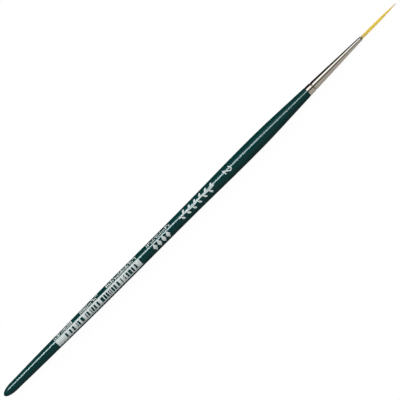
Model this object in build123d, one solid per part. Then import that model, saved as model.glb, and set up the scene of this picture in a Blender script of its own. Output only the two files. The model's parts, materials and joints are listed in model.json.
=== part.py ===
from build123d import *
import math
import os

# Fine detail brush, size 2: a turned and lacquered wooden handle, a drawn metal ferrule with one
# crimp, and a long thin tuft of tapered synthetic filaments.
#
# Frame: the brush lies along X with its hair tip towards +X. The origin is below the middle of
# its length, on the surface that the belly of the handle rests on, and +Z is up.
# Stations are distances from the butt end along the brush, and radii are taken from its axis.
# All sizes are in millimetres and all angles in degrees.

# ---- Driving dimensions ----

LENGTH = 185.0              # butt end to hair tip

# Handle: rounded nose, rear taper, parallel shank, belly, front taper
HANDLE_END = 143.0          # station of the shoulder that the ferrule's rear rim meets
NOSE_LENGTH = 4.8           # one smooth curve closes the butt
NOSE_RADIUS = 1.68
NOSE_FULLNESS = 0.6         # bluntness of that curve at the very end
NOSE_EASE = 0.45            # how early it runs into the taper
REAR_TAPER = [(12.0, 1.81), (26.0, 2.01)]
SHANK_START = 50.0          # the parallel shank fits a round holder
SHANK_END = 80.0
SHANK_RADIUS = 2.25
BELLY_RISE = (98.0, 2.43)
BELLY_STATION = 114.0
BELLY_RADIUS = 2.62
FRONT_TAPER = [(124.0, 2.51), (132.0, 2.22)]
HANDLE_END_RADIUS = 1.75
HANDLE_END_SLOPE = -0.042   # change of radius with length at the shoulder
COAT = 0.18                 # thickness of the lacquer
TENON_LENGTH = 9.5          # wood that reaches into the ferrule
TENON_CHAMFER = 0.25

# Ferrule: collar, one crimp groove, straight cone down to the mouth
FERRULE_LENGTH = 25.3
FERRULE_WALL = 0.14
COLLAR_RADIUS = 1.70
COLLAR_LENGTH = 2.15
GROOVE_DEPTH = 0.20
GROOVE_WIDTH = 0.85
CONE_RADIUS = 1.60          # where the cone starts, just past the groove
MOUTH_RADIUS = 0.71
GLUE_GAP = 0.05             # film between the tenon and the ferrule

# Tuft: the filaments are a bundle inside the ferrule and a slender point outside it
ROOT_START = 159.6          # station of the cut roots of the filaments
BUNDLE_RADIUS = 0.66        # tied bundle, before the cone squeezes it
TUFT_RADIUS = 0.585         # fullest radius outside the ferrule
TIP_RADIUS = 0.03
POINT_SHARPNESS = 3         # power of the curve that draws the tuft to its point
MOUTH_SLIP = 0.01           # the hair at the mouth is this much slimmer than the bore

# Thread tied round the roots, and the set glue that holds them
THREAD_DIAMETER = 0.08
THREAD_TURNS = 12
BINDING_START = 160.3
PLUG_START = 157.6
PLUG_END = 163.6
PLUG_DISH = 0.3             # hollow in the rear face of the glue

# Bending points of the tuft, as distances from the ferrule's mouth
BEND_POINTS = [2.2, 6.8, 11.4]
BEND_LIMIT = 30.0           # greatest bend at each point, either way
SOCKET_GAP = 0.025          # clearance round each rounded end
SEGMENT_SAMPLES = 5         # points that guide the outline of one length of tuft

# ---- Sizes worked out from them ----

MOUTH = HANDLE_END + FERRULE_LENGTH
GROOVE_START = HANDLE_END + COLLAR_LENGTH
GROOVE_END = GROOVE_START + GROOVE_WIDTH
TENON_END = HANDLE_END + TENON_LENGTH
CONE_SLOPE = (CONE_RADIUS - MOUTH_RADIUS) / (MOUTH - GROOVE_END)
TUFT_LENGTH = LENGTH - MOUTH
BENDS = [MOUTH + distance for distance in BEND_POINTS]


def at(station, radius):
    """Point of an outline, drawn in the XY plane with the brush's axis along X."""
    return (station - LENGTH / 2, radius)


def turned(*outline):
    """Solid of revolution of an outline that runs from the brush's axis back to the axis."""
    first, last = outline[0] @ 0, outline[-1] @ 1
    solid = revolve(make_face([*outline, Line(last, first)]), Axis.X)
    return Pos(0, 0, BELLY_RADIUS) * solid


def plain_outline(*points):
    """Straight lines through the given stations and radii."""
    corners = [at(station, radius) for station, radius in points]
    return [Line(a, b) for a, b in zip(corners, corners[1:])]


# ---- Handle ----

def handle_outline(inset):
    """Outline of the handle from the butt to its shoulder, moved inwards by inset."""
    nose_radius = NOSE_RADIUS - inset
    nose = Bezier(
        at(inset, 0),
        at(inset, nose_radius * NOSE_FULLNESS),
        at(NOSE_LENGTH * NOSE_EASE, nose_radius),
        at(NOSE_LENGTH, nose_radius),
    )
    shank_start = at(SHANK_START, SHANK_RADIUS - inset)
    shank_end = at(SHANK_END, SHANK_RADIUS - inset)
    rear_points = [at(station, radius - inset) for station, radius in REAR_TAPER]
    rear = Spline(nose @ 1, *rear_points, shank_start, tangents=[(1, 0), (1, 0)])
    shank = Line(shank_start, shank_end)
    rise_station, rise_radius = BELLY_RISE
    belly = at(BELLY_STATION, BELLY_RADIUS - inset)
    rise = Spline(
        shank_end, at(rise_station, rise_radius - inset), belly, tangents=[(1, 0), (1, 0)]
    )
    front_points = [at(station, radius - inset) for station, radius in FRONT_TAPER]
    shoulder = at(HANDLE_END, HANDLE_END_RADIUS - inset)
    front = Spline(
        belly, *front_points, shoulder, tangents=[(1, 0), (1, HANDLE_END_SLOPE)]
    )
    return [nose, rear, shank, rise, front]


def handle_blank(inset):
    """The handle without its tenon, as one solid."""
    outline = handle_outline(inset)
    end_face = Line(outline[-1] @ 1, at(HANDLE_END, 0))
    return turned(*outline, end_face)


def make_tenon():
    """Wood inside the ferrule: it follows the bore, crimp included, and ends in a chamfer."""
    gap = FERRULE_WALL + GLUE_GAP
    end_radius = cone_radius(TENON_END) - gap
    chamfer_start = TENON_END - TENON_CHAMFER
    collar, groove, _ = ferrule_outline(gap)
    cone = Line(groove @ 1, at(chamfer_start, cone_radius(chamfer_start) - gap))
    chamfer = Line(cone @ 1, at(TENON_END, end_radius - TENON_CHAMFER))
    end_face = Line(chamfer @ 1, at(TENON_END, 0))
    start_face = Line(at(HANDLE_END, 0), collar @ 0)
    return turned(start_face, collar, groove, cone, chamfer, end_face)


def make_handle_core():
    return handle_blank(COAT) + make_tenon()


def make_handle_lacquer():
    """Even coat over the whole handle, open only at the shoulder."""
    return handle_blank(0) - handle_blank(COAT)


# ---- Ferrule ----

def cone_radius(station):
    """Outer radius of the ferrule's cone."""
    return CONE_RADIUS - CONE_SLOPE * (station - GROOVE_END)


def ferrule_outline(inset):
    """Collar, groove and cone of the ferrule, moved inwards by inset: one wall throughout."""
    collar_radius = COLLAR_RADIUS - inset
    groove_middle = at(GROOVE_START + GROOVE_WIDTH / 2, collar_radius - GROOVE_DEPTH)
    collar = Line(at(HANDLE_END, collar_radius), at(GROOVE_START, collar_radius))
    groove = ThreePointArc(collar @ 1, groove_middle, at(GROOVE_END, CONE_RADIUS - inset))
    cone = Line(groove @ 1, at(MOUTH, MOUTH_RADIUS - inset))
    return [collar, groove, cone]


def ferrule_blank(inset):
    """Everything within the ferrule's outline, as one solid."""
    outline = ferrule_outline(inset)
    rear_face = Line(at(HANDLE_END, 0), outline[0] @ 0)
    front_face = Line(outline[-1] @ 1, at(MOUTH, 0))
    return turned(rear_face, *outline, front_face)


def make_ferrule():
    return ferrule_blank(0) - ferrule_blank(FERRULE_WALL)


def make_tenon_glue():
    """Film between the tenon and the bore, as long as the tenon."""
    reach = turned(*plain_outline(
        (HANDLE_END, 0),
        (HANDLE_END, COLLAR_RADIUS),
        (TENON_END - TENON_CHAMFER, COLLAR_RADIUS),
        (TENON_END - TENON_CHAMFER, 0),
    ))
    return (ferrule_blank(FERRULE_WALL) & reach) - make_tenon()


# ---- Tuft inside the ferrule ----

def tuft_radius(station):
    """Radius of the tuft outside the ferrule: full at first, then drawn to a fine point."""
    travel = (station - MOUTH) / TUFT_LENGTH
    return TIP_RADIUS + (TUFT_RADIUS - TIP_RADIUS) * (1 - travel ** POINT_SHARPNESS)


def socket_depth(bend):
    """How far behind a bending point the fixed side stops, so that the moving side clears it."""
    return tuft_radius(bend) * math.sin(math.radians(BEND_LIMIT)) + 2 * SOCKET_GAP


def tuft_skin(start, end):
    """Outline of the tuft between two stations outside the ferrule."""
    step = (end - start) / (SEGMENT_SAMPLES - 1)
    stations = [start + step * number for number in range(SEGMENT_SAMPLES)]
    return Spline(*[at(station, tuft_radius(station)) for station in stations])


def socket_end(bend):
    """Flat rim and round hollow that close a length of tuft behind a bending point."""
    depth = socket_depth(bend)
    hollow = tuft_radius(bend) + SOCKET_GAP
    rim_angle = math.acos(depth / hollow)
    rim_station = bend - depth
    rim = Line(
        at(rim_station, tuft_radius(rim_station)), at(rim_station, hollow * math.sin(rim_angle))
    )
    middle_angle = rim_angle / 2
    middle = at(bend - hollow * math.cos(middle_angle), hollow * math.sin(middle_angle))
    return [rim, ThreePointArc(rim @ 1, middle, at(bend - hollow, 0))]


def make_tuft_root():
    """Bundle of filaments: tied in the ferrule, squeezed by its cone, and just out of its mouth."""
    bore_at_mouth = MOUTH_RADIUS - FERRULE_WALL - MOUTH_SLIP
    squeeze_start = GROOVE_END + (CONE_RADIUS - FERRULE_WALL - MOUTH_SLIP - BUNDLE_RADIUS) / CONE_SLOPE
    rim_station = BENDS[0] - socket_depth(BENDS[0])
    bundle = plain_outline(
        (ROOT_START, 0),
        (ROOT_START, BUNDLE_RADIUS),
        (squeeze_start, BUNDLE_RADIUS),
        (MOUTH, bore_at_mouth),
        (rim_station, tuft_radius(rim_station)),
    )
    return turned(*bundle, *socket_end(BENDS[0]))


def binding_outline():
    """Flat inside against the hair, one round bump outside for each turn of thread."""
    outer_radius = BUNDLE_RADIUS + THREAD_DIAMETER
    valley_radius = BUNDLE_RADIUS + THREAD_DIAMETER / 2
    starts = [BINDING_START + THREAD_DIAMETER * turn for turn in range(THREAD_TURNS)]
    bumps = [
        ThreePointArc(
            at(start, valley_radius),
            at(start + THREAD_DIAMETER / 2, outer_radius),
            at(start + THREAD_DIAMETER, valley_radius),
        )
        for start in starts
    ]
    binding_end = BINDING_START + THREAD_DIAMETER * THREAD_TURNS
    rise = Line(at(BINDING_START, BUNDLE_RADIUS), bumps[0] @ 0)
    fall = Line(bumps[-1] @ 1, at(binding_end, BUNDLE_RADIUS))
    inside = Line(fall @ 1, rise @ 0)
    return [rise, *bumps, fall, inside]


def make_root_binding():
    ring = revolve(make_face(binding_outline()), Axis.X)
    return Pos(0, 0, BELLY_RADIUS) * ring


def make_root_glue():
    """Glue that fills the bore behind the roots and around the tied bundle."""
    dished_face = TangentArc(
        at(PLUG_START + PLUG_DISH, 0), at(PLUG_START, COLLAR_RADIUS), tangent=(0, 1)
    )
    side = Line(dished_face @ 1, at(PLUG_END, COLLAR_RADIUS))
    front_face = Line(side @ 1, at(PLUG_END, 0))
    plug = turned(dished_face, side, front_face) & ferrule_blank(FERRULE_WALL)
    return plug - make_tuft_root() - make_root_binding()


# ---- Tuft outside the ferrule ----

def rounded_start(bend):
    """Round rear end of a length of tuft, centred on its bending point."""
    radius = tuft_radius(bend)
    corner = radius * math.sqrt(0.5)
    return ThreePointArc(at(bend - radius, 0), at(bend - corner, corner), at(bend, radius))


def make_tuft_length(start, end):
    """Length of tuft from one bending point to the socket of the next."""
    skin = tuft_skin(start, end - socket_depth(end))
    return turned(rounded_start(start), skin, *socket_end(end))


def make_tuft_tip():
    skin = tuft_skin(BENDS[-1], LENGTH)
    blunt_end = Line(skin @ 1, at(LENGTH, 0))
    return turned(rounded_start(BENDS[-1]), skin, blunt_end)


NODES = {
    "handle_core": make_handle_core(),
    "handle_lacquer": make_handle_lacquer(),
    "ferrule": make_ferrule(),
    "tenon_glue": make_tenon_glue(),
    "root_glue": make_root_glue(),
    "root_binding": make_root_binding(),
    "tuft_root": make_tuft_root(),
    "tuft_lower": make_tuft_length(BENDS[0], BENDS[1]),
    "tuft_middle": make_tuft_length(BENDS[1], BENDS[2]),
    "tuft_tip": make_tuft_tip(),
}

for name, node in NODES.items():
    export_step(node, f"parts/{name}.step")
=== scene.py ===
import json
import math
import random

import bpy
import numpy as np
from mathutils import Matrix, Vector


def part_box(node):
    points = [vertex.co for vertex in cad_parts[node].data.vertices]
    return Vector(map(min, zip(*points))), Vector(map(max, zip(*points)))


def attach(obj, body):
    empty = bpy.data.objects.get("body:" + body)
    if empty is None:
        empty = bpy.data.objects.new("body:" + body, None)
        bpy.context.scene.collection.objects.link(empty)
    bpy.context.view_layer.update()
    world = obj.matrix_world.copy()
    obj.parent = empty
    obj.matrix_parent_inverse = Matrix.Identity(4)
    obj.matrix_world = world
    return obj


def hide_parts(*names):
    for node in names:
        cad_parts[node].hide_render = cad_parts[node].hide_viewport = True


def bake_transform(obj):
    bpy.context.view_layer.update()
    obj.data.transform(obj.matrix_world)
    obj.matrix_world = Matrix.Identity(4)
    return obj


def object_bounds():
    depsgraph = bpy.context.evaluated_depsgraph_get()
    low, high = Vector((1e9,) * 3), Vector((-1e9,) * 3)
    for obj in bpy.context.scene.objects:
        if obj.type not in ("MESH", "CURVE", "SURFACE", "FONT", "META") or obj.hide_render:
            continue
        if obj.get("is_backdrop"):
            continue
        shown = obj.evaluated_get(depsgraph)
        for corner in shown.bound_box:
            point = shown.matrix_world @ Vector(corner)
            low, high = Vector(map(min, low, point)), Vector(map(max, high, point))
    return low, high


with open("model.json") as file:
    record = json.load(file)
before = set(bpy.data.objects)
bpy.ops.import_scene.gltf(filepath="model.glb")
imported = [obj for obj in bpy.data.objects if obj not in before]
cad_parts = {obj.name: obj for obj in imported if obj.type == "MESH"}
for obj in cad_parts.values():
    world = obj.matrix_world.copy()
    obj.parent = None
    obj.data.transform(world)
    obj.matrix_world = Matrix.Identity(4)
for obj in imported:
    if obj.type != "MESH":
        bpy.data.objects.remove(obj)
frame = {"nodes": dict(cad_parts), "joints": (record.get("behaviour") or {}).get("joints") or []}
cad_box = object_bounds()

# Looks of the fine detail brush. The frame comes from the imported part: the brush lies along X with
# its hair towards +X, +Z is up, and its belly touches z = 0. All lengths are in metres.
# Angles round the brush are in degrees from straight up, positive towards +Y.

MM = 0.001

# ---- Places read from the frame ----

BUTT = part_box("handle_lacquer")[0].x
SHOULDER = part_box("ferrule")[0].x
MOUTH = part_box("ferrule")[1].x
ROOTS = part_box("tuft_root")[0].x
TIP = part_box("tuft_tip")[1].x
AXIS_Z = frame["joints"][0]["pos_m"][2]
BEND_STATIONS = [joint["pos_m"][0] for joint in frame["joints"]]
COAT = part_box("handle_core")[0].x - BUTT

# ---- Mesh resolution ----

TURN_STEPS = 120                # quads round the handle and the ferrule
NOSE_STEP = 0.12 * MM           # spacing of the rings at the butt
NOSE_GROWTH = 0.1               # growth of that spacing, as a part of the distance from the butt
BARREL_STEP = 1.0 * MM          # and its most, along the handle
LIP_STEP = 15                   # degrees between the rings of a rounded lip
CORNER_STEPS = 4                # facets across a rounded corner
LONGEST_CUT = 0.45              # most of an edge that the rounding of one corner takes
SAME_PLACE = 1e-7               # stations closer than this are one
COUNT_ROOM = 1e-6               # rounding that doesn't add one more step to a whole number of them

# ---- Handle and ferrule ----

LIP_RADIUS = 0.10 * MM          # rounded edge of the lacquer at the shoulder
EDGE_ROUNDING = 0.05 * MM       # radius taken off the ferrule's sharp edges
MOUTH_LIP = 0.30 * MM           # length of its end that is drawn in to the hair
MOUTH_SHADE_LENGTH = 0.55 * MM        # dark edge at the mouth: painted shade where the hair goes in
CRIMP_FROM = 2.15 * MM          # stretch of the crimp groove, measured from the shoulder
CRIMP_TO = 3.00 * MM
SHARP_TURN = 15                 # only corners that turn more degrees than this are rounded

# ---- Tuft ----

HAIR_RADIUS = 0.038 * MM        # at the mouth; each hair slims as the tuft does
HAIR_SPACING = 2.05             # between neighbours' middles, in hair radii
HAIR_SIDES = 6
HAIR_SHARP_TURN = 75            # more than its sides turn, so that they are shaded round
HAIR_POINT = 0.002 * MM         # radius of a hair at its very end
HAIR_TAPER = 2.0 * MM           # length over which a hair runs out to its point
HAIR_WANDER = 0.10              # sideways drift of a hair, as a part of the bundle's radius
HAIR_WAVES = (0.6, 1.4)         # fewest and most waves of that drift over the tuft's length
SHORTEST_HAIR = 1.8 * MM        # how far behind the tip the shortest outer hair ends
MIDDLE_SHARE = 0.3              # and the middle one, as a part of that
TIED_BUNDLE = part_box("tuft_root")[1].z - AXIS_Z
FULL_BUNDLE = 0.585 * MM        # greatest radius of the tuft outside the ferrule
TIP_BUNDLE = 0.04 * MM          # and its radius at the very point
POINT_SHARPNESS = 3
MOUTH_SLIP = 0.01 * MM          # gap between the bore and the bundle
MOUTH_SPREAD = 0.0135           # how fast the bundle swells once it is out of the bore
RING_SPACING = 0.35 * MM        # along each hair
FEWEST_FACETS = 3               # along one length of a hair, however short
HAIR_SEED = 7

# ---- Prints ----

INK_SINK = 0.004 * MM           # the ink's underside is this far inside the lacquer
INK_RISE = 0.016 * MM           # and its face this far above it
PANEL_STEP = 1.0 * MM           # longest facet of ink along the brush
PANEL_ANGLE_STEP = 4.0          # and round it
RIBBON_ROWS = 4                 # facets across one stroke, at least
LINE_STEPS = 8                  # facets along a straight stroke

# Distances of the prints from the butt, and their angles round the brush
PANEL_FROM = 24.9 * MM
PANEL_TO = 63.8 * MM
PANEL_ANGLES = (-50.4, 23.6)
BARS_FROM = 28.9 * MM
BARS_TO = 62.6 * MM
BAR_ANGLES = (-37.9, 8.3)
BAR_MODULE = 0.36 * MM
BAR_WIDTHS = [1, 1, 1, 2, 2, 3]     # in modules, drawn by chance
BAR_GAPS = [1, 1, 2, 2, 3]
BAR_SEED = 11
TICK_ROWS = [                   # from, to, lower and upper angle
    (24.9 * MM, 33.9 * MM, 31, 72),
    (37.2 * MM, 45.9 * MM, 31, 72),
    (49.6 * MM, 63.6 * MM, 31, 72),
    (68.5 * MM, 79.1 * MM, 31, 62),
]
TICK_WIDTH = 0.27 * MM
TICK_WIDTHS = [0.8, 1.0, 1.6]   # in tick widths, drawn by chance
TICK_GAPS = [0.8, 1.0, 1.2]
TICK_SEED = 5
LOZENGES = 4
LOZENGE_FROM = 69.7 * MM
LOZENGE_PITCH = 2.0 * MM
LOZENGE_LENGTH = 1.6 * MM
LOZENGE_HEIGHT = 2.7 * MM
LOZENGE_TIP = 0.05 * MM         # width of its blunt ends
LOZENGE_ANGLE = -17
SPRIG_FROM = 82.9 * MM
SPRIG_TO = 99.0 * MM
SPRIG_ANGLE = 8
SPRIG_WAVE = 0.15 * MM
SPRIG_LINE = 0.36 * MM
SPRIG_STEPS = 60                # facets along the stem
SPRIG_LEAVES = 12
FIRST_LEAF = 0.6                # place of the first leaf's root, in leaf spacings
LEAF_LENGTH = 1.55 * MM
LEAF_STEPS = 10                 # facets along a leaf
LEAF_AHEAD = 0.75               # how far a leaf reaches along the stem, in leaf lengths
LEAF_ROOT = 0.12                # where it starts beside the stem
LEAF_OUT = 0.76                 # and how far it reaches out
LEAF_CURVE = 1.3                # radians through which it curls forward
LEAF_WIDTH = 0.66 * MM
LEAF_TIP = 0.04 * MM            # width of its blunt ends
LEAF_FULLNESS = 0.8             # under 1 keeps a leaf broad towards its ends
NUMERAL_STATION = 105.7 * MM
NUMERAL_ANGLE = 13
NUMERAL_HEIGHT = 2.75 * MM
NUMERAL_WIDTH = 1.6 * MM
NUMERAL_LINE = 0.38 * MM
NUMERAL_RISE = 0.2              # the figure slopes up to its right
NUMERAL_BOWL = (-70, 120)       # degrees from the top at which its bowl starts and ends
NUMERAL_BOWL_STEP = 10

# ---- Camera ----

LENS = 150.0
SENSOR = 36.0
VIEW_WIDTH = 133.333 * MM       # width of the view at the brush's axis
VIEW_TURN = -45.063             # the brush rises to the right
VIEW_CENTRE = (-0.28 * MM, -0.08 * MM)

# ---- Light ----

STRIP_ANGLE = 31.8              # round the brush
STRIP_SKEW = -25                # it hangs askew: its far end is more nearly above the brush
STRIP_DISTANCE = 0.45
STRIP_LENGTH = 0.76
STRIP_WIDTH = 0.145
STRIP_GLOW = 60.0               # brightness of its face; white paper under the key light is about 1
STRIP_FADE = [                  # it dims towards the hair: place along it from 0 to 1, brightness
    (0.47, 0.97),
    (0.60, 0.52),
]
STRIP_COLOUR = (0.80, 0.97, 1.0)
TUFT_LIGHT_ANGLE = -70          # a small light on the tuft's shaded side
TUFT_LIGHT_DISTANCE = 0.25
TUFT_LIGHT_SIZE = 0.20
TUFT_LIGHT_GLOW = 2.0
CARDS = [                       # what gloss reflects: angle round the brush, brightness, warmth
    (-180, 0.10, 1.0),
    (-140, 0.35, 1.04),
    (-110, 0.48, 1.05),
    (-20, 0.52, 1.06),
    (-14, 0.02, 1.0),
    (14, 0.02, 1.0),
    (20, 1.60, 0.97),
    (60, 1.60, 0.97),
    (66, 0.02, 1.0),
    (180, 0.03, 1.0),
]
CARD_ENDS = [                   # the cards stop short of the brush's own direction
    (-1, 0.04, 1.0),
    (-0.80, 0.04, 1.0),
    (-0.70, 1.0, 1.0),
    (0.80, 1.0, 1.0),
    (0.90, 0.04, 1.0),
    (1, 0.04, 1.0),
]
KEY_ANGLE = 30                  # middle of the soft key light, round the brush
KEY_SPREAD = 52                 # and how far it reaches from there
KEY_EDGE = 0.05                 # softness of its rim, in cosines
KEY_GLOW = 1.42
FILL_GLOW = 0.09
BOUNCE_GLOW = 0.9               # light that the floor throws back up
BOUNCE_EDGE = (-0.6, -0.4)      # height on the unit sphere over which it fades out
FLOOR_SIZE = 4.0
FLOOR_ALBEDO = 0.06
FLOOR_GLOW = 0.955


# ---- Mesh helpers ----

def mesh_object(name, vertices, faces, material, sharp_angle=35):
    """Object of one mesh, smooth except over edges that turn more than sharp_angle."""
    mesh = bpy.data.meshes.new(name)
    mesh.from_pydata(vertices, [], faces)
    mesh.validate()
    mesh.materials.append(material)
    mesh.shade_smooth()
    mesh.set_sharp_from_angle(angle=math.radians(sharp_angle))
    obj = bpy.data.objects.new(name, mesh)
    bpy.context.scene.collection.objects.link(obj)
    return obj


def round_axis(x, radius, degrees):
    """Point at a station, a distance from the brush's axis and an angle round it."""
    angle = math.radians(degrees)
    return (x, radius * math.sin(angle), AXIS_Z + radius * math.cos(angle))


def lathe(name, outline, material):
    """Surface of revolution of a closed outline, or of one that starts and ends on the axis."""
    on_axis = outline[0][1] == 0
    rings = outline[1:-1] if on_axis else outline
    vertices = []
    for x, radius in rings:
        for step in range(TURN_STEPS):
            vertices.append(round_axis(x, radius, 360 * step / TURN_STEPS))
    faces = []
    ring_pairs = list(zip(range(len(rings)), range(1, len(rings))))
    if not on_axis:
        ring_pairs.append((len(rings) - 1, 0))
    for low, high in ring_pairs:
        for step in range(TURN_STEPS):
            after = (step + 1) % TURN_STEPS
            faces.append((
                low * TURN_STEPS + step,
                high * TURN_STEPS + step,
                high * TURN_STEPS + after,
                low * TURN_STEPS + after,
            ))
    if on_axis:
        for ring, (x, _) in ((0, outline[0]), (len(rings) - 1, outline[-1])):
            pole = len(vertices)
            vertices.append((x, 0, AXIS_Z))
            for step in range(TURN_STEPS):
                here = ring * TURN_STEPS + step
                after = ring * TURN_STEPS + (step + 1) % TURN_STEPS
                faces.append((pole, here, after) if ring == 0 else (pole, after, here))
    return mesh_object(name, vertices, faces, material)


def turned_points(node):
    """Station and radius of every vertex of a turned CAD node, sorted along the brush."""
    points = set()
    for vertex in frame["nodes"][node].data.vertices:
        radius = math.hypot(vertex.co.y, vertex.co.z - AXIS_Z)
        points.add((round(vertex.co.x, 7), round(radius, 7)))
    return sorted(points)


def radius_on(points, x):
    """Radius at a station, between the points of an outline."""
    stations, radii = np.transpose(points)
    return float(np.interp(x, stations, radii))


def thinned(points):
    """Fewer points of an outline: close together at the butt and further apart along the barrel."""
    kept = [tuple(points[0])]
    for point in points[1:-1]:
        spacing = min(BARREL_STEP, NOSE_STEP + NOSE_GROWTH * (point[0] - BUTT))
        if math.dist(point, kept[-1]) >= spacing:
            kept.append(tuple(point))
    return kept + [tuple(points[-1])]


def softened(outline, rounding):
    """A closed outline with its sharp corners cut to small curves."""
    rounded = []
    for number, corner in enumerate(outline):
        before = np.array(outline[number - 1])
        here = np.array(corner)
        after = np.array(outline[(number + 1) % len(outline)])
        into, out = here - before, after - here
        turn = math.degrees(math.atan2(into[0] * out[1] - into[1] * out[0], into @ out))
        if abs(turn) < SHARP_TURN:
            rounded.append(tuple(here))
            continue
        length_in, length_out = np.linalg.norm(into), np.linalg.norm(out)
        reach = min(rounding, LONGEST_CUT * length_in, LONGEST_CUT * length_out)
        start = here - into / length_in * reach
        end = here + out / length_out * reach
        for step in range(CORNER_STEPS + 1):
            part = step / CORNER_STEPS
            rounded.append(tuple(
                (1 - part) ** 2 * start + 2 * part * (1 - part) * here + part ** 2 * end
            ))
    return rounded


# ---- Material helpers ----

def colour_ramp(tree, factor, stops):
    """New ramp node over the given positions and colours, read at factor."""
    node = tree.nodes.new("ShaderNodeValToRGB")
    elements = node.color_ramp.elements
    while len(elements) < len(stops):
        elements.new(0.5)
    for element, (position, colour) in zip(elements, stops):
        element.position = position
        element.color = (*colour, 1.0)
    tree.links.new(factor, node.inputs["Fac"])
    return node.outputs["Color"]


class Finish:
    """A new material with its node tree, and short ways to add the nodes that it needs."""

    def __init__(self, name):
        self.material = bpy.data.materials.new(name)
        self.material.use_nodes = True
        self.tree = self.material.node_tree
        self.shader = self.tree.nodes["Principled BSDF"]
        self.place = self.tree.nodes.new("ShaderNodeTexCoord").outputs["Object"]

    def set(self, **values):
        """Sets the shader's own sockets, named in lower case with _ for a space."""
        for name, value in values.items():
            socket = name.replace("_", " ").title().replace("Ior", "IOR")
            self.shader.inputs[socket].default_value = value

    def link(self, output, name):
        self.tree.links.new(output, self.shader.inputs[name])

    def noise(self, scale, detail=3.0, roughness=0.5):
        """Noise whose grain is one over scale, in metres, along each axis."""
        mapping = self.tree.nodes.new("ShaderNodeMapping")
        mapping.inputs["Scale"].default_value = scale
        self.tree.links.new(self.place, mapping.inputs["Vector"])
        node = self.tree.nodes.new("ShaderNodeTexNoise")
        node.inputs["Scale"].default_value = 1.0
        node.inputs["Detail"].default_value = detail
        node.inputs["Roughness"].default_value = roughness
        self.tree.links.new(mapping.outputs["Vector"], node.inputs["Vector"])
        return node.outputs["Fac"]

    def along_brush(self, start, end):
        """Number that runs from 0 at one station to 1 at another."""
        split = self.tree.nodes.new("ShaderNodeSeparateXYZ")
        self.tree.links.new(self.place, split.inputs["Vector"])
        part = self.tree.nodes.new("ShaderNodeMapRange")
        part.inputs["From Min"].default_value = start
        part.inputs["From Max"].default_value = end
        self.tree.links.new(split.outputs["X"], part.inputs["Value"])
        return part.outputs["Result"]

    def attribute(self, name):
        node = self.tree.nodes.new("ShaderNodeAttribute")
        node.attribute_name = name
        return node.outputs["Fac"]

    def ramp(self, factor, stops):
        """Colours, or one number each, at the given positions from 0 to 1."""
        coloured = []
        for position, value in stops:
            colour = (value, value, value) if isinstance(value, (int, float)) else value
            coloured.append((position, colour))
        return colour_ramp(self.tree, factor, coloured)

    def mix(self, factor, first, second, blend="MIX"):
        """Mixes two colours; factor is an output or a number."""
        node = self.tree.nodes.new("ShaderNodeMix")
        node.data_type = "RGBA"
        node.blend_type = blend
        colour_inputs = [socket for socket in node.inputs if socket.type == "RGBA"]
        factor_input = node.inputs[0]
        for socket, value in ((factor_input, factor), *zip(colour_inputs, (first, second))):
            if isinstance(value, bpy.types.NodeSocket):
                self.tree.links.new(value, socket)
            elif isinstance(value, (int, float)):
                socket.default_value = value
            else:
                socket.default_value = (*value, 1.0)
        return [socket for socket in node.outputs if socket.type == "RGBA"][0]

    def bump(self, height, distance):
        node = self.tree.nodes.new("ShaderNodeBump")
        node.inputs["Distance"].default_value = distance
        self.tree.links.new(height, node.inputs["Height"])
        self.link(node.outputs["Normal"], "Normal")


# ---- Materials ----

def lacquer_material():
    """Deep blue-green dipped lacquer: glossy, with a faint long ripple from dipping."""
    finish = Finish("green_lacquer")
    cloud = finish.noise((60, 500, 500), detail=2)
    finish.link(
        finish.ramp(cloud, [(0.30, (0.0018, 0.0385, 0.0370)), (0.70, (0.0026, 0.0480, 0.0465))]),
        "Base Color",
    )
    finish.link(finish.ramp(finish.noise((300, 900, 900)), [(0.3, 0.10), (0.7, 0.15)]), "Roughness")
    # A low level under a strong tint keeps the gloss nearly even from the middle out to the edges
    finish.set(ior=1.5, specular_ior_level=0.02, specular_tint=(6.5, 6.5, 6.5, 1))
    finish.bump(finish.noise((60, 300, 300), detail=1), 0.0005 * MM)
    return finish.material


def nickel_material():
    """Bright nickel plate over drawn brass, with fine lines along its length, and painted shade in the
    crimp groove and at the mouth.
    """
    finish = Finish("nickel_plate")
    lines = finish.noise((150, 9000, 9000), detail=4, roughness=0.65)
    stain = finish.noise((400, 900, 900), detail=3)
    warm = finish.ramp(stain, [(0.30, (0.60, 0.55, 0.48)), (0.75, (0.68, 0.64, 0.58))])
    # painted shade: the plate darkens over its last stretch before the mouth
    mouth_shade = finish.ramp(finish.along_brush(MOUTH - MOUTH_SHADE_LENGTH, MOUTH), [(0.0, 0.0), (0.7, 0.9)])
    # painted shade: the plate darkens in the crimp groove
    crimp = finish.ramp(
        finish.along_brush(SHOULDER + CRIMP_FROM, SHOULDER + CRIMP_TO),
        [(0.1, 0.0), (0.4, 0.6), (0.6, 0.6), (0.9, 0.0)],
    )
    shaded_plate = finish.mix(crimp, finish.mix(mouth_shade, warm, (0.10, 0.09, 0.05)), (0.12, 0.10, 0.07))
    finish.link(shaded_plate, "Base Color")
    finish.link(finish.ramp(lines, [(0.30, 0.05), (0.70, 0.10)]), "Roughness")
    finish.set(metallic=1.0)
    finish.bump(lines, 0.0002 * MM)
    return finish.material


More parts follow.
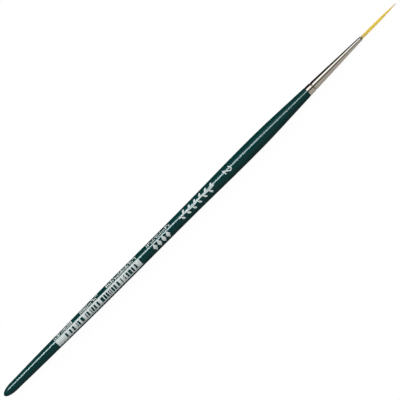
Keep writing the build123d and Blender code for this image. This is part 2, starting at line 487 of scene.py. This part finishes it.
def hair_material():
    """Golden synthetic filament: each hair has its own tone, all darken at the point, and painted shade
    darkens them at the mouth.
    """
    finish = Finish("golden_filament")
    along = finish.attribute("along")
    tone = finish.attribute("tone")
    # painted shade: the first stops darken the hair where it leaves the mouth
    body = finish.ramp(along, [
        (0.000, (0.28, 0.24, 0.09)),
        (0.015, (0.34, 0.29, 0.11)),
        (0.040, (0.76, 0.62, 0.22)),
        (0.120, (0.95, 0.72, 0.15)),
        (0.450, (0.98, 0.76, 0.09)),
        (0.800, (0.98, 0.72, 0.13)),
        (1.000, (0.80, 0.54, 0.26)),
    ])
    varied = finish.mix(1.0, body, finish.ramp(tone, [(0.0, 0.94), (1.0, 1.02)]), "MULTIPLY")
    finish.link(varied, "Base Color")
    finish.link(finish.ramp(tone, [(0.0, 0.28), (1.0, 0.42)]), "Roughness")
    finish.set(ior=1.53, specular_ior_level=0.25)
    finish.bump(finish.noise((900, 30000, 30000), detail=2), 0.001 * MM)
    return finish.material


def ink_material():
    """White screen ink, a little uneven, so that the lacquer greys it in places."""
    finish = Finish("white_ink")
    cover = finish.noise((2500, 2500, 2500), detail=4, roughness=0.6)
    finish.link(
        finish.ramp(cover, [(0.30, (0.62, 0.69, 0.68)), (0.62, (0.76, 0.84, 0.83))]), "Base Color"
    )
    finish.link(finish.ramp(cover, [(0.3, 0.55), (0.7, 0.38)]), "Roughness")
    finish.set(ior=1.5, specular_ior_level=0.3)
    finish.bump(cover, 0.002 * MM)
    return finish.material


def wood_material():
    """Turned hardwood, with its grain along the brush."""
    finish = Finish("turned_wood")
    grain = finish.noise((25, 1400, 1400), detail=5, roughness=0.6)
    colours = [
        (0.30, (0.40, 0.25, 0.12)),
        (0.55, (0.62, 0.43, 0.24)),
        (0.80, (0.72, 0.54, 0.33)),
    ]
    finish.link(finish.ramp(grain, colours), "Base Color")
    finish.link(finish.ramp(grain, [(0.3, 0.75), (0.8, 0.55)]), "Roughness")
    finish.bump(grain, 0.01 * MM)
    return finish.material


def glue_material():
    """Set amber epoxy, cloudy, with a slightly pitted face."""
    finish = Finish("amber_glue")
    cloud = finish.noise((2500, 2500, 2500), detail=4)
    finish.link(finish.ramp(cloud, [(0.3, (0.42, 0.24, 0.06)), (0.7, (0.62, 0.42, 0.14))]), "Base Color")
    finish.link(finish.ramp(cloud, [(0.3, 0.22), (0.7, 0.38)]), "Roughness")
    finish.bump(cloud, 0.004 * MM)
    return finish.material


def thread_material():
    """Waxed cotton thread."""
    finish = Finish("waxed_thread")
    fibre = finish.noise((16000, 5000, 5000), detail=4, roughness=0.7)
    finish.link(finish.ramp(fibre, [(0.3, (0.58, 0.54, 0.45)), (0.7, (0.80, 0.77, 0.68))]), "Base Color")
    finish.link(finish.ramp(fibre, [(0.3, 0.80), (0.7, 0.60)]), "Roughness")
    finish.bump(fibre, 0.006 * MM)
    return finish.material


# ---- Handle and ferrule ----

def core_skin():
    """Outline of the wood under the lacquer, from the butt to the shoulder."""
    widest = {}
    for x, radius in turned_points("handle_core"):
        if x <= SHOULDER + SAME_PLACE:
            widest[x] = max(radius, widest.get(x, 0))
    return sorted(widest.items())


def coat_skin(core):
    """Outline of the lacquer's outer face, from the butt to the shoulder."""
    points = np.array(turned_points("handle_lacquer"))
    under = np.interp(points[:, 0], *np.transpose(core))
    outside = (points[:, 0] < BUTT + COAT) | (points[:, 1] > under + COAT / 2)
    return points[outside]


COAT_OUTLINE = coat_skin(core_skin())


def make_lacquer_coat(material):
    """The coat as a closed skin, with its free edge rounded at the shoulder."""
    core = core_skin()
    outer = thinned(COAT_OUTLINE)
    lip_start = SHOULDER - LIP_RADIUS
    shoulder_radius = outer[-1][1]
    barrel = [point for point in outer if point[0] < lip_start]
    lip = []
    for degrees in range(0, 91, LIP_STEP):
        angle = math.radians(degrees)
        lip.append((
            lip_start + LIP_RADIUS * math.sin(angle),
            shoulder_radius - LIP_RADIUS * (1 - math.cos(angle)),
        ))
    inner = list(reversed(thinned(core)))
    outline = [(BUTT, 0)] + barrel[1:] + lip + inner[:-1] + [(BUTT + COAT, 0)]
    coat = lathe("lacquer_coat", outline, material)
    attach(coat, "brush")
    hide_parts("handle_lacquer")
    return coat


def make_ferrule_tube(material):
    """The drawn tube with its crimp, and every sharp edge softened."""
    stations = {}
    for x, radius in turned_points("ferrule"):
        stations.setdefault(x, []).append(radius)
    outer = [(x, max(radii)) for x, radii in sorted(stations.items())]
    inner = [(x, min(radii)) for x, radii in sorted(stations.items(), reverse=True)]
    bore = inner[0][1]
    lip = []
    for degrees in range(0, 90, LIP_STEP):
        angle = math.radians(degrees)
        x = MOUTH - MOUTH_LIP * (1 - math.sin(angle))
        lip.append((x, bore + (radius_on(outer, x) - bore) * math.cos(angle)))
    barrel = [point for point in outer if point[0] < lip[0][0]]
    tube = lathe("ferrule_tube", softened(barrel + lip + inner, EDGE_ROUNDING), material)
    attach(tube, "brush")
    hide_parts("ferrule")


# ---- Tuft ----

def bore_outline():
    """Station and radius of the ferrule's inner face."""
    narrowest = {}
    for x, radius in turned_points("ferrule"):
        narrowest[x] = min(radius, narrowest.get(x, radius))
    return np.array(sorted(narrowest.items()))


BORE = bore_outline()


def bundle_radius(x):
    """Radius of the bundle of hair: tied behind, squeezed by the bore, then drawn to a point."""
    if x < MOUTH:
        return min(TIED_BUNDLE, radius_on(BORE, x) - MOUTH_SLIP)
    travel = (x - MOUTH) / (TIP - MOUTH)
    drawn = TIP_BUNDLE + (FULL_BUNDLE - TIP_BUNDLE) * (1 - travel ** POINT_SHARPNESS)
    return min(drawn, radius_on(BORE, MOUTH) - MOUTH_SLIP + MOUTH_SPREAD * (x - MOUTH))


class Hair:
    """One filament: where it sits in the bundle, how it drifts, and where it ends."""

    def __init__(self, across, up, chance):
        self.across = across
        self.up = up
        self.phases = [chance.uniform(0, 2 * math.pi) for _ in range(2)]
        self.waves = [chance.uniform(*HAIR_WAVES) for _ in range(2)]
        self.tone = chance.random()
        share = MIDDLE_SHARE + (1 - MIDDLE_SHARE) * math.hypot(across, up)
        self.end = TIP - SHORTEST_HAIR * share * chance.random() ** 2

    def centre(self, x):
        """Place of the hair's middle at a station, as y and z."""
        room = bundle_radius(x) - self.radius(x)
        turns = (x - ROOTS) / (TIP - ROOTS) * 2 * math.pi
        loose = HAIR_WANDER * (1 - math.hypot(self.across, self.up) ** 2)
        drift = [
            loose * math.sin(phase + wave * turns)
            for phase, wave in zip(self.phases, self.waves)
        ]
        return room * (self.across + drift[0]), AXIS_Z + room * (self.up + drift[1])

    def radius(self, x):
        slim = bundle_radius(x) / FULL_BUNDLE
        point = math.sqrt(max(0.0, min(1.0, (self.end - x) / HAIR_TAPER)))
        return max(HAIR_POINT, HAIR_RADIUS * min(1.0, slim) * point)


def packed_places(spacing):
    """Places of a hexagonal packing in a circle of radius 1."""
    places = []
    row_height = spacing * math.sin(math.radians(60))
    rows = int(1 / row_height) + 1
    for row in range(-rows, rows + 1):
        up = row * row_height
        shift = spacing / 2 if row % 2 else 0
        for column in range(-rows - 2, rows + 3):
            across = column * spacing + shift
            if math.hypot(across, up) <= 1:
                places.append((across, up))
    return places


def hair_tubes(hairs, start, end):
    """Vertices, faces and each vertex's tone for the stretch of every hair between two stations."""
    vertices, faces, tones = [], [], []
    for hair in hairs:
        stop = min(end, hair.end)
        if stop <= start:
            continue
        rings = max(FEWEST_FACETS, math.ceil((stop - start) / RING_SPACING)) + 1
        first = len(vertices)
        for ring in range(rings):
            x = start + (stop - start) * ring / (rings - 1)
            y, z = hair.centre(x)
            radius = hair.radius(x)
            for side in range(HAIR_SIDES):
                angle = 2 * math.pi * side / HAIR_SIDES
                vertices.append((x, y + radius * math.sin(angle), z + radius * math.cos(angle)))
                tones.append(hair.tone)
        for ring in range(rings - 1):
            low = first + ring * HAIR_SIDES
            for side in range(HAIR_SIDES):
                after = (side + 1) % HAIR_SIDES
                faces.append((
                    low + side, low + HAIR_SIDES + side, low + HAIR_SIDES + after, low + after
                ))
        last = first + (rings - 1) * HAIR_SIDES
        faces.append(tuple(first + side for side in range(HAIR_SIDES)))
        faces.append(tuple(last + side for side in reversed(range(HAIR_SIDES))))
    return vertices, faces, tones


def make_tuft(material):
    """The hair in three lengths, which meet halfway between the bend stations."""
    chance = random.Random(HAIR_SEED)
    room = radius_on(BORE, MOUTH) - MOUTH_SLIP - HAIR_RADIUS
    places = packed_places(HAIR_SPACING * HAIR_RADIUS / room)
    hairs = [Hair(across, up, chance) for across, up in places]
    cuts = [(low + high) / 2 for low, high in zip(BEND_STATIONS, BEND_STATIONS[1:])]
    lengths = [
        ("hair_base", ROOTS, cuts[0], ["tuft_root", "tuft_lower"]),
        ("hair_middle", cuts[0], cuts[1], ["tuft_middle"]),
        ("hair_point", cuts[1], TIP, ["tuft_tip"]),
    ]
    tufts = []
    for number, (name, start, end, nodes) in enumerate(lengths):
        vertices, faces, tones = hair_tubes(hairs, start, end)
        tuft = mesh_object(name, vertices, faces, material, HAIR_SHARP_TURN)
        along = [max(0.0, (x - MOUTH) / (TIP - MOUTH)) for x, _, _ in vertices]
        for attribute, values in (("along", along), ("tone", tones)):
            tuft.data.attributes.new(attribute, "FLOAT", "POINT").data.foreach_set("value", values)
        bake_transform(tuft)
        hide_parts(*nodes)
        tufts.append(tuft)
    return tufts


# ---- Prints: thin films of ink that follow the lacquer ----

def on_coat(x, degrees, height):
    """Point above the lacquer's face by height."""
    return round_axis(x, radius_on(COAT_OUTLINE, x) + height, degrees)


def steps_between(edges, longest):
    """The same edges, with more between them so that no step is over longest."""
    fine = [edges[0]]
    for low, high in zip(edges, edges[1:]):
        parts = max(1, math.ceil((high - low) / longest - COUNT_ROOM))
        fine += [low + (high - low) * part / parts for part in range(1, parts + 1)]
    return fine


def straight(start, end):
    """Points from start to end for a straight stroke, close enough to follow the round lacquer."""
    step = (np.array(end) - np.array(start)) / LINE_STEPS
    return [tuple(start + step * part) for part in range(LINE_STEPS + 1)]


class Ink:
    """Closed films of ink that together make one print."""

    def __init__(self):
        self.vertices = []
        self.faces = []

    def grid(self, columns, rows, place, filled):
        """A film over a grid of cells. place(i, j, height) is a corner, filled(i, j) a cell."""
        corners = {}

        def corner(i, j, height):
            key = (i, j, height)
            if key not in corners:
                corners[key] = len(self.vertices)
                self.vertices.append(place(i, j, height))
            return corners[key]

        def wall(a, b):
            self.faces.append((
                corner(*a, -INK_SINK), corner(*b, -INK_SINK), corner(*b, INK_RISE), corner(*a, INK_RISE)
            ))

        def is_filled(i, j):
            return 0 <= i < columns and 0 <= j < rows and filled(i, j)

        for i in range(columns):
            for j in range(rows):
                if not is_filled(i, j):
                    continue
                around = [(i, j), (i + 1, j), (i + 1, j + 1), (i, j + 1)]
                self.faces.append(tuple(corner(*at, INK_RISE) for at in around))
                self.faces.append(tuple(corner(*at, -INK_SINK) for at in reversed(around)))
                beside = [(i, j - 1), (i + 1, j), (i, j + 1), (i - 1, j)]
                for number, cell in enumerate(beside):
                    if not is_filled(*cell):
                        wall(around[number], around[(number + 1) % 4])

    def panel(self, x_edges, angle_edges, is_open=lambda x, degrees: False):
        """A film between stations and angles, with lacquer showing where is_open says so."""
        xs = steps_between(x_edges, PANEL_STEP)
        angles = steps_between(angle_edges, PANEL_ANGLE_STEP)
        self.grid(
            len(xs) - 1, len(angles) - 1,
            lambda i, j, height: on_coat(xs[i], angles[j], height),
            lambda i, j: not is_open((xs[i] + xs[i + 1]) / 2, (angles[j] + angles[j + 1]) / 2),
        )

    def stroke(self, middle, path, widths):
        """A ribbon along a path of (along, across) points from middle, a (station, angle) pair."""
        x_middle, degrees_middle = middle
        radius = radius_on(COAT_OUTLINE, x_middle)
        widest_angle = math.degrees(max(widths) / radius)
        rows = max(RIBBON_ROWS, math.ceil(widest_angle / PANEL_ANGLE_STEP))
        path = [np.array(point) for point in path]
        sides = []
        for number in range(len(path)):
            direction = path[min(number + 1, len(path) - 1)] - path[max(number - 1, 0)]
            direction = direction / np.linalg.norm(direction)
            sides.append(np.array((-direction[1], direction[0])) * widths[number] / 2)

        def place(i, j, height):
            along, across = path[i] + sides[i] * (2 * j / rows - 1)
            return on_coat(x_middle + along, degrees_middle + math.degrees(across / radius), height)

        self.grid(len(path) - 1, rows, place, lambda i, j: True)

    def make(self, name, material):
        print_piece = mesh_object(name, self.vertices, self.faces, material)
        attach(print_piece, "brush")


def make_code_panel(material):
    """White panel with a row of dark bars of random widths, which mean nothing."""
    chance = random.Random(BAR_SEED)
    x = BUTT + BARS_FROM
    bars = []
    while x < BUTT + BARS_TO - max(BAR_WIDTHS) * BAR_MODULE:
        width = chance.choice(BAR_WIDTHS) * BAR_MODULE
        bars.append((x, x + width))
        x += width + chance.choice(BAR_GAPS) * BAR_MODULE
    edges = [BUTT + PANEL_FROM] + [edge for bar in bars for edge in bar] + [BUTT + PANEL_TO]

    def is_open(x, degrees):
        in_bar = any(low < x < high for low, high in bars)
        return in_bar and BAR_ANGLES[0] < degrees < BAR_ANGLES[1]

    ink = Ink()
    ink.panel(edges, [PANEL_ANGLES[0], *BAR_ANGLES, PANEL_ANGLES[1]], is_open)
    ink.make("code_panel_print", material)


def make_tick_rows(material):
    """Rows of small ticks where a brush carries its small print."""
    chance = random.Random(TICK_SEED)
    ink = Ink()
    for start, end, low, high in TICK_ROWS:
        x = BUTT + start
        while x < BUTT + end - TICK_WIDTH:
            kind = chance.choice(["full", "full", "foot", "head", "pair"])
            middle = (low + high) / 2
            third = (high - low) / 3
            spans = {
                "full": [(low, high)],
                "foot": [(low, middle)],
                "head": [(middle, high)],
                "pair": [(low, low + third), (high - third, high)],
            }[kind]
            width = TICK_WIDTH * chance.choice(TICK_WIDTHS)
            for span in spans:
                ink.panel([x, x + width], list(span))
            x += width + TICK_WIDTH * chance.choice(TICK_GAPS)
    ink.make("tick_rows_print", material)


def make_lozenge_band(material):
    """Four solid lozenges in a row."""
    path = straight((-LOZENGE_LENGTH / 2, 0), (LOZENGE_LENGTH / 2, 0))
    widths = []
    for along, _ in path:
        taper = 1 - abs(along) / (LOZENGE_LENGTH / 2)
        widths.append(LOZENGE_TIP + (LOZENGE_HEIGHT - LOZENGE_TIP) * taper)
    ink = Ink()
    for number in range(LOZENGES):
        station = BUTT + LOZENGE_FROM + LOZENGE_PITCH * (number + 0.5)
        ink.stroke((station, LOZENGE_ANGLE), path, widths)
    ink.make("lozenge_band_print", material)


def make_sprig(material):
    """A leafy sprig: a wavy stem with slanting leaves on both sides."""
    ink = Ink()
    middle = (BUTT + (SPRIG_FROM + SPRIG_TO) / 2, SPRIG_ANGLE)
    half = (SPRIG_TO - SPRIG_FROM) / 2

    def stem(along):
        return SPRIG_WAVE * math.sin(along / half * 2 * math.pi)

    stations = [-half + 2 * half * part / SPRIG_STEPS for part in range(SPRIG_STEPS + 1)]
    ink.stroke(middle, [(along, stem(along)) for along in stations], [SPRIG_LINE] * len(stations))
    for number in range(SPRIG_LEAVES):
        root = -half + (number + FIRST_LEAF) * 2 * half / (SPRIG_LEAVES + FIRST_LEAF)
        side = 1 if number % 2 else -1
        path, widths = [], []
        for part in range(LEAF_STEPS + 1):
            travel = part / LEAF_STEPS
            out = LEAF_ROOT + LEAF_OUT * math.sin(travel * LEAF_CURVE)
            path.append((
                root + LEAF_LENGTH * LEAF_AHEAD * travel,
                stem(root) + side * LEAF_LENGTH * out,
            ))
            widths.append(LEAF_TIP + LEAF_WIDTH * math.sin(math.pi * travel) ** LEAF_FULLNESS)
        ink.stroke(middle, path, widths)
    ink.make("sprig_print", material)


def make_size_numeral(material):
    """Plain figure 2, read with the hair upwards."""
    ink = Ink()
    middle = (BUTT + NUMERAL_STATION, NUMERAL_ANGLE)
    bowl = NUMERAL_WIDTH / 2

    def leaning(right, up):
        return up + NUMERAL_RISE * right, -right

    curve = []
    for degrees in range(NUMERAL_BOWL[0], NUMERAL_BOWL[1] + 1, NUMERAL_BOWL_STEP):
        angle = math.radians(degrees)
        curve.append(leaning(
            bowl * math.sin(angle), NUMERAL_HEIGHT / 2 - bowl + bowl * math.cos(angle)
        ))
    foot = leaning(-bowl, -NUMERAL_HEIGHT / 2)
    base = straight(
        leaning(-bowl - NUMERAL_LINE / 2, -NUMERAL_HEIGHT / 2), leaning(bowl, -NUMERAL_HEIGHT / 2)
    )
    for path in (curve + straight(curve[-1], foot)[1:], base):
        ink.stroke(middle, path, [NUMERAL_LINE] * len(path))
    ink.make("size_numeral_print", material)


# ---- Camera, light and floor ----

def make_camera():
    """Straight above the brush, as far back as a long lens needs."""
    data = bpy.data.cameras.new("camera")
    data.lens = LENS
    data.sensor_width = SENSOR
    camera = bpy.data.objects.new("camera", data)
    distance = VIEW_WIDTH * LENS / SENSOR
    camera.location = (*VIEW_CENTRE, AXIS_Z + distance)
    camera.rotation_euler = (0, 0, math.radians(VIEW_TURN))
    bpy.context.scene.collection.objects.link(camera)
    bpy.context.scene.camera = camera


class Sky:
    """The world with its node tree, and short ways to add the nodes that it needs."""

    def __init__(self, name):
        world = bpy.data.worlds.new(name)
        bpy.context.scene.world = world
        world.use_nodes = True
        world.cycles.sampling_method = "NONE"   # or gloss would also be lit by the soft light
        self.tree = world.node_tree
        self.direction = self.add("ShaderNodeTexCoord").outputs["Generated"]
        self.parts = self.add("ShaderNodeSeparateXYZ", self.direction).outputs

    def add(self, kind, *sources):
        """New node whose first inputs are linked to the given outputs."""
        node = self.tree.nodes.new(kind)
        for socket, output in zip(node.inputs, sources):
            self.tree.links.new(output, socket)
        return node

    def background(self, colour):
        """Light of one colour or, where colour is an output, of the colours that it gives."""
        node = self.add("ShaderNodeBackground")
        if isinstance(colour, bpy.types.NodeSocket):
            self.tree.links.new(colour, node.inputs["Color"])
        else:
            node.inputs["Color"].default_value = (*colour, 1)
        return node.outputs["Background"]

    def choose(self, factor, plain, special):
        """The plain light where factor is 0, and the special one where it is 1."""
        return self.add("ShaderNodeMixShader", factor, plain, special).outputs["Shader"]

    def combine(self, operation, first, second):
        node = self.add("ShaderNodeVectorMath", first, second)
        node.operation = operation
        return node.outputs["Vector"]

    def along(self, output, low, high, stops):
        """Grey glow, more or less warm, at positions between low and high of a number."""
        part = self.add("ShaderNodeMapRange", output)
        part.inputs["From Min"].default_value = low
        part.inputs["From Max"].default_value = high
        colours = []
        for position, glow, warmth in stops:
            colours.append(((position - low) / (high - low), (glow * warmth, glow, glow / warmth)))
        return colour_ramp(self.tree, part.outputs["Result"], colours)


def reflected_cards(sky):
    """What gloss reflects: long cards round the brush, which end short of its own direction."""
    turn = sky.add("ShaderNodeMath", sky.parts["Y"], sky.parts["Z"])
    turn.operation = "ARCTAN2"
    cards = [(math.radians(degrees), glow, warmth) for degrees, glow, warmth in CARDS]
    return sky.combine(
        "MULTIPLY",
        sky.along(turn.outputs["Value"], -math.pi, math.pi, cards),
        sky.along(sky.parts["X"], -1, 1, CARD_ENDS),
    )


def soft_light(sky):
    """What lights matt faces: a wide key light, a weak fill, and the floor's bounce."""
    key_angle = math.radians(KEY_ANGLE)
    towards_key = sky.add("ShaderNodeVectorMath", sky.direction)
    towards_key.operation = "DOT_PRODUCT"
    towards_key.inputs[1].default_value = (0, math.sin(key_angle), math.cos(key_angle))
    rim = math.cos(math.radians(KEY_SPREAD))
    key = sky.along(towards_key.outputs["Value"], -1, 1, [
        (-1, FILL_GLOW, 1),
        (rim - KEY_EDGE, FILL_GLOW, 1),
        (rim + KEY_EDGE, KEY_GLOW, 1),
        (1, KEY_GLOW, 1),
    ])
    bounce = sky.along(sky.parts["Z"], -1, 1, [
        (-1, BOUNCE_GLOW, 1),
        (BOUNCE_EDGE[0], BOUNCE_GLOW, 1),
        (BOUNCE_EDGE[1], 0, 1),
        (1, 0, 1),
    ])
    return sky.combine("ADD", key, bounce)


def make_world():
    """Soft light, cards for gloss to reflect, and plain white where the world itself is seen."""
    sky = Sky("studio")
    rays = sky.add("ShaderNodeLightPath").outputs
    soft = sky.background(soft_light(sky))
    cards = sky.background(reflected_cards(sky))
    lighting = sky.choose(rays["Is Glossy Ray"], soft, cards)
    seen = sky.choose(rays["Is Camera Ray"], lighting, sky.background((1, 1, 1)))
    sky.tree.links.new(seen, sky.tree.nodes["World Output"].inputs["Surface"])


def area_light(name, lit, x, distance, angle, size, glow):
    """Soft light that faces the brush's axis from an angle round it and lights only some pieces."""
    data = bpy.data.lights.new(name, "AREA")
    data.shape = "RECTANGLE"
    data.size, data.size_y = size
    data.energy = math.pi * size[0] * size[1] * glow
    light = bpy.data.objects.new(name, data)
    light.location = round_axis(x, distance, angle)
    light.rotation_mode = "ZYX"
    light.rotation_euler = (-math.radians(angle), 0, 0)
    light.visible_camera = False
    receivers = bpy.data.collections.new(name + "_receivers")
    for piece in lit:
        receivers.objects.link(piece)
    light.light_linking.receiver_collection = receivers
    bpy.context.scene.collection.objects.link(light)
    return light


def make_softbox(coat):
    """Long strip light beside and above the brush, parallel to it, for the gloss of the lacquer."""
    size = (STRIP_LENGTH, STRIP_WIDTH)
    light = area_light("strip_softbox", [coat], 0, STRIP_DISTANCE, STRIP_ANGLE, size, STRIP_GLOW)
    light.rotation_euler.z = math.radians(STRIP_SKEW)
    light.visible_diffuse = False
    light.data.color = STRIP_COLOUR
    light.data.use_nodes = True
    tree = light.data.node_tree
    own_place = tree.nodes.new("ShaderNodeNewGeometry").outputs["Parametric"]
    along = tree.nodes.new("ShaderNodeSeparateXYZ")
    tree.links.new(own_place, along.inputs["Vector"])
    fade = tree.nodes.new("ShaderNodeMapRange")
    for end, (place, brightness) in zip(("Min", "Max"), STRIP_FADE):
        fade.inputs["From " + end].default_value = place
        fade.inputs["To " + end].default_value = brightness
    tree.links.new(along.outputs["X"], fade.inputs["Value"])
    tree.links.new(fade.outputs["Result"], tree.nodes["Emission"].inputs["Strength"])


def make_tuft_light(hair):
    """Small soft light beside the tuft that lifts its shaded side."""
    light = area_light(
        "tuft_light", hair, (MOUTH + TIP) / 2, TUFT_LIGHT_DISTANCE, TUFT_LIGHT_ANGLE,
        (TUFT_LIGHT_SIZE, TUFT_LIGHT_SIZE), TUFT_LIGHT_GLOW,
    )
    light.visible_glossy = False


def make_floor():
    """Plain white sweep that shows only a faint shadow."""
    half = FLOOR_SIZE / 2
    finish = Finish("white_floor")
    finish.set(base_color=(FLOOR_ALBEDO, FLOOR_ALBEDO, FLOOR_ALBEDO, 1), roughness=1.0)
    finish.set(specular_ior_level=0.0, emission_color=(1, 1, 1, 1), emission_strength=FLOOR_GLOW)
    corners = [(-half, -half, 0), (half, -half, 0), (half, half, 0), (-half, half, 0)]
    floor = mesh_object("floor", corners, [(0, 1, 2, 3)], finish.material)
    floor.visible_glossy = False
    floor.visible_diffuse = False
    floor.visible_shadow = False
    floor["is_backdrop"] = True


def finish_inner_pieces():
    """Finishes for the CAD pieces inside, which keep their own shape."""
    wood, glue, thread = wood_material(), glue_material(), thread_material()
    for node, material in (
        ("handle_core", wood),
        ("tenon_glue", glue),
        ("root_glue", glue),
        ("root_binding", thread),
    ):
        for slot in frame["nodes"][node].material_slots:
            slot.material = material


make_camera()
make_world()
make_floor()
make_softbox(make_lacquer_coat(lacquer_material()))
make_ferrule_tube(nickel_material())
make_tuft_light(make_tuft(hair_material()))
ink_finish = ink_material()
make_code_panel(ink_finish)
make_tick_rows(ink_finish)
make_lozenge_band(ink_finish)
make_sprig(ink_finish)
make_size_numeral(ink_finish)
finish_inner_pieces()
bpy.context.scene.view_settings.view_transform = "Standard"

boxes = {"cad": cad_box, "visual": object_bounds()}
{name: [list(corner) for corner in box] for name, box in boxes.items()}
